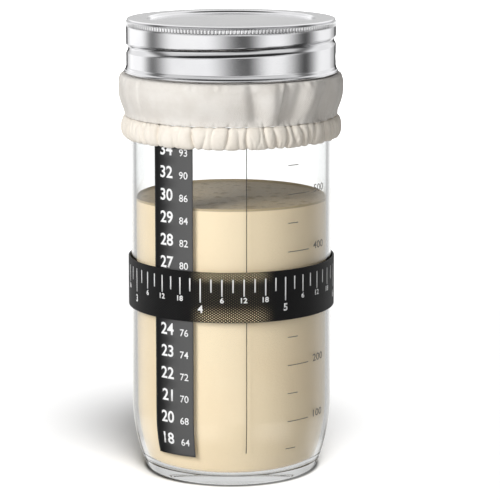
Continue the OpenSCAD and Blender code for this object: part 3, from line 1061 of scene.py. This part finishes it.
grey_ink = ink("grey_ink", linear(112, 106, 96), linear(132, 126, 116))
volume_scale = printed("volume_scale_print", scale_marks(), grey_ink)
wear(volume_scale, "jar")
upright = [laid_on(bar(0.32, hem_foot + 2 - LINE_FOOT, row=1.5), LINE_ANGLE, LINE_FOOT, glass_skin)]
dark_ink = ink("dark_ink", linear(58, 54, 50), linear(76, 72, 66))
upright_line = printed("upright_line_print", upright, dark_ink)
wear(upright_line, "jar")


# %% [markdown]
# ## The time band
#
# The band is a woven sleeve round flat rubber, sewn where its ends overlap at the back. Its section
# is a flat tube with a slit towards the glass. White marks are printed on it: a tick each three
# hours, a number at 6, 12 and 18 o'clock, and a day number at each long tick.

# %% The sleeve of the band
WEAVE_T = 0.18
SLIT = 0.4
ROUND = 0.22

band_in = jar_r + 0.43
band_mid = (band_foot + band_top) / 2


def sleeve_outline():
    """The flat tube as a closed outline, its outer corners rounded, open by the slit inside."""
    hollow_in, hollow_out = band_in + WEAVE_T, band_r - WEAVE_T
    low, high = band_foot + 3 * WEAVE_T, band_top - 3 * WEAVE_T
    return path(
        (band_in, band_mid - SLIT / 2), (band_in, band_foot + 0.1), (band_in + 0.1, band_foot),
        arc(band_r - ROUND, band_foot + ROUND, ROUND, -90, 0, 5),
        arc(band_r - ROUND, band_top - ROUND, ROUND, 0, 90, 5),
        (band_in + 0.1, band_top), (band_in, band_top - 0.1), (band_in, band_mid + SLIT / 2),
        (hollow_in, band_mid + SLIT / 2), (hollow_in, high), (hollow_out, high),
        (hollow_out, low), (hollow_in, low), (hollow_in, band_mid - SLIT / 2),
        (band_in, band_mid - SLIT / 2))


def overlap_patch(width=7.0):
    """The sewn overlap at the back: a second layer, its points from a rounded plate on the band."""
    half = math.degrees(width / 2 / band_r)
    across = np.radians(90 + np.linspace(-half, half, 15))[None, :]
    outline = path((band_r - WEAVE_T, band_foot + 0.2),
                   arc(band_r + 0.02, band_foot + 0.26, 0.08, -90, 0, 3),
                   arc(band_r + 0.02, band_top - 0.26, 0.08, 0, 90, 3),
                   (band_r - WEAVE_T, band_top - 0.2), (band_r - WEAVE_T, band_foot + 0.2))
    outline = dense(outline, 1.0)
    r, z = outline[:, :1], outline[:, 1:]
    middle = r.mean() + 0 * r
    across = np.concatenate([across[:, :1], across, across[:, -1:]], axis=1)
    r = r + 0 * across
    r[:, [0]] = r[:, [-1]] = middle
    z = z + 0 * across
    z[:, 0] = z[:, -1] = band_mid
    return np.stack([r * np.cos(across), r * np.sin(across), z], axis=-1)


# %% [markdown]
# Under a strong light the knit of the band shows as rows of dots, where a thread comes up. In a zone
# in front, near the top and bottom edges, the dots are painted a pale gold: a painted glint. The dots
# are the tops of two crossed sine waves on the band's own map, which lie in a staggered grid. The map
# is squeezed first, so that the dots stand wider apart along the band than across it.

# %% The finish of the band
SHINE_X = 0.6          # the middle of the zone of painted glint, in front
ROW = 0.5              # distance of the rows of dots
SQUEEZE = 0.667        # the same as a share of the distance along a row


def black_knit():
    material, tree, shader = start_material(
        "black_knit", Roughness=0.6, Specular_IOR_Level=0.2)
    band_map = add(tree, "ShaderNodeUVMap", uv_map="UVMap").outputs["UV"]
    knit = add(tree, "ShaderNodeGroup", node_tree=plain_weave)
    squeezed = add(tree, "ShaderNodeVectorMath", {0: band_map, 1: (SQUEEZE, 1, 1)}, operation="MULTIPLY")
    tree.links.new(squeezed.outputs[0], knit.inputs["Vector"])
    knit.inputs["Thread"].default_value = ROW
    tone, grain = cloudy_at(tree, 0.008, 0.0003)
    black = blend_colours(tree, tone, linear(9, 9, 10), linear(14, 14, 15))
    where = add(tree, "ShaderNodeTexCoord").outputs["Object"]
    split = add(tree, "ShaderNodeSeparateXYZ", {"Vector": where})
    aside = sum_up(tree, "ABSOLUTE", sum_up(tree, "ADD", split.outputs["X"], -SHINE_X * MM))
    height = split.outputs["Z"]
    # Painted glint: in front, near the top and bottom edges, the tops of the knit are blended from dark brown
    # to a pale gold, for the light that they catch there.
    lit = sum_up(
        tree, "ADD", clamp=True,
        a=ramp_between(tree, height, (band_top - 5.0) * MM, (band_top - 1.5) * MM, 0.1, 1.0),
        b=ramp_between(tree, height, (band_foot + 7.5) * MM, (band_foot + 1.0) * MM))
    lit = sum_up(tree, "MULTIPLY", lit, ramp_between(tree, aside, 17 * MM, 9 * MM))
    lit = sum_up(tree, "MULTIPLY", lit, ramp_between(tree, split.outputs["Y"], -20 * MM, -30 * MM))
    painted_glint = blend_colours(tree, lit, linear(24, 23, 22), linear(255, 236, 190))
    colour = blend_colours(tree, ramp_between(tree, knit.outputs["Height"], 0.66, 0.84), black, painted_glint)
    feed(tree, shader, Base_Color=colour, Normal=bump(tree, knit.outputs["Height"], 0.00008))
    return material


knit_finish = black_knit()
sleeve_profile = dense(sleeve_outline(), 1.2)
time_band = surface("time_band_knit", turned(sleeve_profile, 288), unrolled(sleeve_profile, 288, band_r))
place(time_band, "time_band", "band_sleeve", knit_finish, "band_sleeve")

# %% [markdown]
# The ticks repeat every eight steps, one day. A loop over the 56 steps of a week lays them all:
# the step number alone says how long a tick is and which number belongs under it.

# %% The print on the band
DAY = 47.7             # seven days go round the band, apart from the seam at the back
DAY_ANGLE = -16.55     # where the long tick in front lies
FIRST_DAY = DAY_ANGLE - 3 * DAY
TICK_TOP = 84.3
TICK_FOOT = {"day": 75.0, "hour": 77.6, "plain": 79.1}
TICK_W = 0.55
HOUR_Z = 76.05
DAY_Z = 72.4


def band_skin(z):
    """Radius at which ink lies on the band."""
    return band_r + INK_LIFT + 0 * z


def band_marks():
    """The ticks and numbers of one week."""
    marks = []
    days = {day: number(str(day + 1), 3.0, weight=0.03) for day in range(7)}
    hours = {hour: number(str(hour), 2.15, weight=0.03, squeeze=1.1) for hour in (6, 12, 18)}
    for step in range(56):
        kind = "day" if step % 8 == 0 else "hour" if step % 2 == 0 else "plain"
        at = FIRST_DAY + step * DAY / 8
        tick = bar(TICK_W, TICK_TOP - TICK_FOOT[kind])
        marks.append(laid_on(tick, at, TICK_FOOT[kind], band_skin))
        if kind == "day":
            marks.append(laid_on(days[step // 8], at, DAY_Z, band_skin))
        if kind == "hour":
            marks.append(laid_on(hours[3 * (step % 8)], at, HOUR_Z, band_skin))
    return marks


white_ink = ink("white_ink", linear(236, 236, 236), linear(214, 214, 214), roughness=0.55)
band_print = printed("time_band_print", band_marks(), white_ink)
wear(band_print, "time_band")


# %% [markdown]
# ## The thermometer strip
#
# A printed film, stuck on. It follows the glass into the heel, so its radius is the jar's own side
# plus the glue. Liquid crystal patches lie dark between its numbers.

# %% The film
FILM_T = 0.18
FILM_R = 0.13 + FILM_T
STRIP_W = 18.0
STRIP_ANGLE = -34.0


def film_grid(rows=130, columns=24):
    """r = side of the jar + film, on an even grid of angle and height."""
    z = np.linspace(strip_foot, strip_top, rows)[:, None]
    t = np.linspace(-0.5, 0.5, columns)[None, :]
    angle = math.radians(STRIP_ANGLE) + t * STRIP_W / jar_r
    r = jar_side(z) + FILM_R + 0 * t
    grid = np.stack([r * np.sin(angle), -r * np.cos(angle), z + 0 * t], axis=-1)
    return grid, np.stack([(t + 0.5) * STRIP_W + 0 * z, z - strip_foot + 0 * t], axis=-1)


# The temperatures on the strip, from the top down, and the height of the first number
CELSIUS = (34, 32, 30, 29, 28, 27, 26, 25, 24, 23, 22, 21, 20, 18)
FAHRENHEIT = (93, 90, 86, 84, 82, 80, 78, 77, 76, 74, 72, 70, 68, 64)
FIRST_ROW = 133.8
ROW_PITCH = 8.84
CELSIUS_ANGLE = -38.0
FAHRENHEIT_ANGLE = -26.8


def black_film():
    """Black film that pales to dark grey towards its right edge, with darker patches in rows."""
    material, tree, shader = start_material(
        "black_film", Coat_Weight=0.06, Coat_Roughness=0.3, Specular_IOR_Level=0.15)
    film_map = add(tree, "ShaderNodeUVMap", uv_map="UVMap").outputs["UV"]
    split = add(tree, "ShaderNodeSeparateXYZ", {"Vector": film_map})
    across, up = split.outputs["X"], split.outputs["Y"]
    paling = ramp_between(tree, across, 1.0, 9.5, 0.0, 0.9)
    paling = sum_up(tree, "ADD", paling, ramp_between(tree, across, 8.0, 18.0, 0.0, 0.1))
    row = sum_up(tree, "DIVIDE", sum_up(tree, "SUBTRACT", up, FIRST_ROW - strip_foot), ROW_PITCH)
    between = sum_up(tree, "COSINE", sum_up(tree, "MULTIPLY", row, 2 * math.pi))
    tone, grain = cloudy_at(tree, 0.006, 0.0005)
    patch = ramp_between(tree, between, 0.2, -1.0)
    patch = sum_up(tree, "MULTIPLY", patch, ramp_between(tree, across, 13.0, 3.0))
    patch = sum_up(tree, "MULTIPLY", patch, ramp_between(tree, tone, 0.0, 1.0, 0.45, 1.0))
    colour = blend_colours(tree, paling, linear(8, 8, 9), linear(88, 88, 88))
    colour = blend_colours(tree, sum_up(tree, "MULTIPLY", patch, 0.6), colour, linear(16, 16, 17))
    feed(tree, shader, Base_Color=colour, Normal=bump(tree, grain, 0.00001),
         Roughness=ramp_between(tree, grain, 0, 1, 0.4, 0.52))
    return material


film_points, film_map = film_grid()
strip = surface("thermometer_strip", film_points, film_map)
thickness = strip.modifiers.new("film thickness", "SOLIDIFY")
thickness.thickness = FILM_T * MM
thickness.offset = -1
place(strip, "jar", "thermometer_film", black_film(), "thermometer_film")


# %% The numbers on the strip
def strip_skin(z):
    """Radius at which ink lies on the film."""
    return jar_side(z) + FILM_R + INK_LIFT


def strip_marks():
    """Bold Celsius numbers on the left, smaller Fahrenheit numbers on the same foot at the right."""
    marks = []
    for row, (celsius, fahrenheit) in enumerate(zip(CELSIUS, FAHRENHEIT)):
        z = FIRST_ROW - ROW_PITCH * row
        big = number(str(celsius), 4.75, weight=0.02)
        small = number(str(fahrenheit), 2.85, weight=0.01)
        marks.append(laid_on(big, CELSIUS_ANGLE, z, strip_skin))
        marks.append(laid_on(small, FAHRENHEIT_ANGLE, z - 0.95, strip_skin))
    return marks


strip_ink = ink("strip_ink", linear(244, 244, 244), linear(228, 228, 228), roughness=0.45)
strip_numbers = printed("thermometer_numbers", strip_marks(), strip_ink)
wear(strip_numbers, "jar")


# %% [markdown]
# ## Finishes of the solids that stay
#
# The gasket, the rubber in the band and the glue behind the strip have the right shape already, so
# they keep their solids and only get a finish.

# %% Silicone, rubber and glue
def soft_finish(name, first, second, roughness, grain_depth, **constants):
    material, tree, shader = start_material(name, **constants)
    tone, grain = cloudy_at(tree, 0.005, 0.0003)
    feed(tree, shader, Base_Color=blend_colours(tree, tone, first, second),
         Roughness=ramp_between(tree, grain, 0, 1, roughness - 0.06, roughness + 0.06),
         Normal=bump(tree, grain, grain_depth))
    return material


def refinish(node, material):
    """Puts a finish on a solid in place of the one that it came with."""
    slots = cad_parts[node].data.materials
    slots.clear()
    slots.append(material)
    print(node, "gets", material.name)


refinish("lid_gasket", soft_finish(
    "pale_silicone", linear(214, 216, 216), linear(200, 203, 204), 0.45, 0.00002))
refinish("band_rubber", soft_finish("band_rubber", linear(52, 50, 48), linear(66, 63, 60), 0.7, 0.00003))
refinish("thermometer_glue", soft_finish(
    "strip_glue", linear(206, 204, 190), linear(194, 192, 180), 0.4, 0.00001))


# %% [markdown]
# ## Floor, light and camera
#
# The floor is white to the camera and keeps the object's shadow: part of its white is its own, and
# the rest is lit, so a shadow can only take away that rest. Metal shows what stands round it, so
# the world has the studio in it for mirror rays: white all round, with dark gaps between the
# panels, seen as upright bands on the lid.

# %% The floor
FLOOR_OWN = 0.02       # share of the floor's white that is its own, so that no shadow can take it
THROUGH_GLASS = 0.3    # the same share where the floor is seen through glass
SIDE_GREY = 0.3        # what is left of it, through glass, away from the backdrop
UNDER_GLASS = 0.45     # and right under the jar, where the light that the glass gathers falls
UNDER_REACH = (0.045, 0.065)
CONTACT_SHADOW_REACH = (0.0343, 0.0362)     # where the painted contact shadow at the foot fades, in metres from the middle
CONTACT_SHADOW_DEPTH = 0.8
BOUNCE = 0.5           # share of the floor's light that reaches the object
FLOOR_FADE = (0.3, 0.9)    # metres from the jar over which that share grows to the whole


def make_floor(size=8.0):
    half = size / 2
    mesh = bpy.data.meshes.new("floor")
    corners = [(-half, -half, 0), (half, -half, 0), (half, half, 0), (-half, half, 0)]
    mesh.from_pydata(corners, [], [(0, 1, 2, 3)])
    floor = bpy.data.objects.new("floor", mesh)
    bpy.context.scene.collection.objects.link(floor)
    floor.visible_glossy = False
    material = bpy.data.materials.new("white_floor")
    material.use_nodes = True
    tree = material.node_tree
    tree.nodes.clear()
    where = add(tree, "ShaderNodeTexCoord").outputs["Object"]
    away = add(tree, "ShaderNodeVectorMath", {0: where}, operation="LENGTH").outputs["Value"]
    ray = add(tree, "ShaderNodeLightPath").outputs
    own_white = ramp_between(tree, away, *FLOOR_FADE, FLOOR_OWN, 1.0)
    # Painted contact shadow: a thin dark ring on the floor round the foot of the jar, for camera rays only.
    painted_contact_shadow = sum_up(tree, "MULTIPLY", ray["Is Camera Ray"],
                   ramp_between(tree, away, *CONTACT_SHADOW_REACH, CONTACT_SHADOW_DEPTH, 0.0))
    open_share = sum_up(tree, "SUBTRACT", 1.0, painted_contact_shadow)
    direct = sum_up(tree, "MULTIPLY", sum_up(tree, "MULTIPLY", ray["Is Camera Ray"], own_white), open_share)
    through = ray["Is Transmission Ray"]
    behind = sum_up(tree, "DIVIDE", add(tree, "ShaderNodeSeparateXYZ", {0: where}).outputs["Y"], away)
    backdrop = ramp_between(tree, behind, 0.86, 0.985, SIDE_GREY, 1.0)
    backdrop = sum_up(tree, "MAXIMUM", backdrop, sum_up(tree, "SUBTRACT", 1.0, through))
    seen = sum_up(tree, "MAXIMUM", sum_up(tree, "MULTIPLY", backdrop, THROUGH_GLASS),
                  ramp_between(tree, away, *UNDER_REACH, UNDER_GLASS, 0.0))
    own_white = sum_up(tree, "MULTIPLY_ADD", through, seen)
    tree.links.new(direct, own_white.node.inputs[2])
    bounce = ramp_between(tree, ray["Is Diffuse Ray"], 0, 1, 1.0, BOUNCE)
    bounce = sum_up(tree, "MULTIPLY", bounce, open_share)
    grey = blend_colours(tree, sum_up(tree, "MULTIPLY", backdrop, bounce), (0, 0, 0), (0.8, 0.8, 0.8))
    lit = add(tree, "ShaderNodeBsdfDiffuse", {"Color": grey})
    own = add(tree, "ShaderNodeEmission", {"Strength": own_white})
    both = add(tree, "ShaderNodeAddShader")
    tree.links.new(lit.outputs[0], both.inputs[0])
    tree.links.new(own.outputs[0], both.inputs[1])
    output = add(tree, "ShaderNodeOutputMaterial")
    tree.links.new(both.outputs[0], output.inputs["Surface"])
    mesh.materials.append(material)
    floor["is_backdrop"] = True
    return floor


studio_floor = make_floor()

# %% The world
# What mirrors see round the horizon: azimuth from the camera's side to the right, and brightness.
# White panels with soft dark gaps between them, and a dark strip right behind the object, which
# draws its outline.
HORIZON = [(-180, 0.04), (-161, 0.07), (-151, 1.1), (-140, 1.6), (-117, 1.62), (-95, 0.32), (-64, 1.5),
           (-28, 1.6), (13, 0.08), (46, 1.65), (54, 1.62), (89, 0.14), (117, 1.5), (134, 1.42),
           (150, 0.75), (161, 0.06), (180, 0.04)]
DARK = 0.04            # what mirrors see of the gaps above and below the panels in front
BEHIND_LOW = 0.7       # what they see low behind the object, as the flat top of the lid does
BEHIND_HIGH = 1.5      # and higher up behind it
SIDES = 0.25           # and above the panels at both sides
BESIDE = 1.3           # and further back than that
FOOT_GLOW = 0.72       # what rays see that leave the thick foot of the glass upwards or late
LOW_CARD = (-75, 17)   # the white card that the glass mirrors, from one azimuth to the other
SOFT_LIGHT = 0.15


def panels(tree, turn):
    """The brightness round the horizon: a colour ramp over the azimuth, eased between its stops."""
    ramp = add(tree, "ShaderNodeValToRGB", {0: sum_up(tree, "MULTIPLY_ADD", turn, 1 / 360)})
    ramp.inputs[0].links[0].from_node.inputs[2].default_value = 0.5
    ramp.color_ramp.interpolation = "EASE"
    stops = ramp.color_ramp.elements
    while len(stops) < len(HORIZON):
        stops.new(0.5)
    for stop, (azimuth, brightness) in zip(stops, HORIZON):
        stop.position = azimuth / 360 + 0.5
        stop.color = (brightness, brightness, brightness, 1)
    return ramp.outputs["Color"]


def mix(tree, share, first, second):
    """The first number at share 0, the second at share 1."""
    node = add(tree, "ShaderNodeMix", {"Factor": share, 2: first, 3: second})
    return node.outputs[0]


def make_world():
    world = bpy.data.worlds.new("studio")
    bpy.context.scene.world = world
    world.use_nodes = True
    tree = world.node_tree
    tree.nodes.clear()
    way = add(tree, "ShaderNodeTexCoord").outputs["Generated"]
    split = add(tree, "ShaderNodeSeparateXYZ", {"Vector": way})
    up = split.outputs["Z"]
    ahead = sum_up(tree, "MULTIPLY", split.outputs["Y"], -1.0)
    turn = sum_up(tree, "MULTIPLY", sum_up(tree, "ARCTAN2", split.outputs["X"], ahead), 180 / math.pi)
    in_front = ramp_between(tree, ahead, -0.3, 0.2)
    off = sum_up(tree, "ABSOLUTE", turn)
    sides = sum_up(tree, "MULTIPLY", ramp_between(tree, off, 72, 88), ramp_between(tree, off, 158, 142))
    sky = mix(tree, in_front, ramp_between(tree, up, 0.13, 0.3, BEHIND_LOW, BEHIND_HIGH), 1.0)
    sky = mix(tree, sides, sky, ramp_between(tree, off, 92, 112, SIDES, BESIDE))
    wall = mix(tree, ramp_between(tree, up, 0.015, 0.05), panels(tree, turn), sky)
    left, right = LOW_CARD
    card = sum_up(tree, "MULTIPLY", ramp_between(tree, turn, left - 12, left + 12),
                  ramp_between(tree, turn, right + 3, right - 3))
    card = sum_up(tree, "MAXIMUM", card, ramp_between(tree, off, 95, 125))
    low = sum_up(tree, "MULTIPLY", ramp_between(tree, up, -0.125, -0.145), ramp_between(tree, up, -0.33, -0.27))
    wall = mix(tree, low, wall, card)
    above = sum_up(tree, "MULTIPLY", ramp_between(tree, up, 0.5, 0.62), in_front)
    level = mix(tree, sum_up(tree, "ADD", above, ramp_between(tree, up, -0.4, -0.56)), wall, DARK)
    ray = add(tree, "ShaderNodeLightPath").outputs
    backdrop = ramp_between(tree, split.outputs["Y"], 0.7, 0.94, SIDE_GREY, 1.0)
    backdrop = mix(tree, ramp_between(tree, up, -0.03, 0.02), backdrop, FOOT_GLOW)
    strength = mix(tree, ray["Is Glossy Ray"], SOFT_LIGHT, level)
    strength = mix(tree, ray["Is Transmission Ray"], strength, backdrop)
    late = sum_up(tree, "GREATER_THAN", ray["Ray Depth"], MAX_TURNS)
    late = sum_up(tree, "MULTIPLY", late, ray["Is Glossy Ray"])
    strength = mix(tree, late, strength, FOOT_GLOW)
    strength = mix(tree, ray["Is Camera Ray"], strength, 1.0)
    light = add(tree, "ShaderNodeBackground", {"Color": (1, 1, 1, 1), "Strength": strength})
    output = add(tree, "ShaderNodeOutputWorld")
    tree.links.new(light.outputs[0], output.inputs["Surface"])


make_world()


# %% [markdown]
# Three soft lamps light the jar, and a broad sun lights only the floor. So the shadow can fall back
# and to the left, while the jar keeps its light from the front left. Light linking says which lamp
# reaches what: a collection that includes the floor for one, and excludes it for the others.

# %% The lamps
def floor_link(name, state):
    """A collection for light linking that includes or excludes the floor."""
    group = bpy.data.collections.new(name)
    group.objects.link(studio_floor)
    group.collection_objects[0].light_linking.link_state = state
    return group


def aim(lamp, azimuth, elevation, distance):
    """Puts a lamp on a sphere round the middle of the jar, looking at it. Mirrors don't show it."""
    a, e = math.radians(azimuth), math.radians(elevation)
    away = Vector((math.sin(a) * math.cos(e), -math.cos(a) * math.cos(e), math.sin(e)))
    lamp.location = Vector((0, 0, jar_h / 2 * MM)) + away * distance
    lamp.rotation_mode = "QUATERNION"
    lamp.rotation_quaternion = away.to_track_quat("Z", "Y")
    lamp.visible_glossy = False
    bpy.context.scene.collection.objects.link(lamp)


def softbox(name, azimuth, elevation, distance, size, power):
    """A square lamp for the jar alone."""
    light = bpy.data.lights.new(name, "AREA")
    light.size = size
    light.energy = power
    lamp = bpy.data.objects.new(name, light)
    aim(lamp, azimuth, elevation, distance)
    lamp.light_linking.receiver_collection = not_the_floor


def floor_sun(azimuth, elevation, spread, strength):
    """An even light for the floor alone, with a soft shadow."""
    light = bpy.data.lights.new("floor_sun", "SUN")
    light.angle = math.radians(spread)
    light.energy = strength
    lamp = bpy.data.objects.new("floor_sun", light)
    aim(lamp, azimuth, elevation, 1.5)
    lamp.light_linking.receiver_collection = only_the_floor


only_the_floor = floor_link("only_the_floor", "INCLUDE")
not_the_floor = floor_link("not_the_floor", "EXCLUDE")
softbox("key", -42, 20, 1.2, 0.6, 12.0)
softbox("top", -10, 70, 1.3, 0.8, 2.1)
softbox("fill", 22, 10, 1.5, 0.8, 3.0)
floor_sun(10, 67, 20, 3.8)

# %% [markdown]
# The camera's place was worked out from the ellipses of the lid, the band and the foot: it looks
# along +Y, 10.6 degrees down, from 0.98 m away.

# %% The camera
PITCH_DOWN = 10.6
AIM = Vector((7.49, 0, 88.27)) * MM
DISTANCE = 0.977
FOCAL_PX = 2434        # focal length in pixels of a picture 500 pixels wide
SENSOR = 36.0

eye = bpy.data.cameras.new("camera")
eye.sensor_width = SENSOR
eye.lens = FOCAL_PX / 500 * SENSOR
eye.clip_start, eye.clip_end = 0.05, 20
camera = bpy.data.objects.new("camera", eye)
tilt = math.radians(PITCH_DOWN)
camera.location = AIM - DISTANCE * Vector((0, math.cos(tilt), -math.sin(tilt)))
camera.rotation_euler = (math.pi / 2 - tilt, 0, 0)
bpy.context.scene.collection.objects.link(camera)
bpy.context.scene.camera = camera
bpy.context.scene.view_settings.view_transform = "Standard"
print("camera at", tuple(round(x, 4) for x in camera.location))

# %% [markdown]
#
# Both boxes, of the solids and of the dressed model, are printed, so that they can be compared.
# The dressed model has to stay in the box of the solids, apart from a little cloth.

# %% Write the boxes and finish
shown_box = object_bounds()
for label, box in (("cad", cad_box), ("visual", shown_box)):
    print(label, [[round(x / MM, 2) for x in corner] for corner in box])
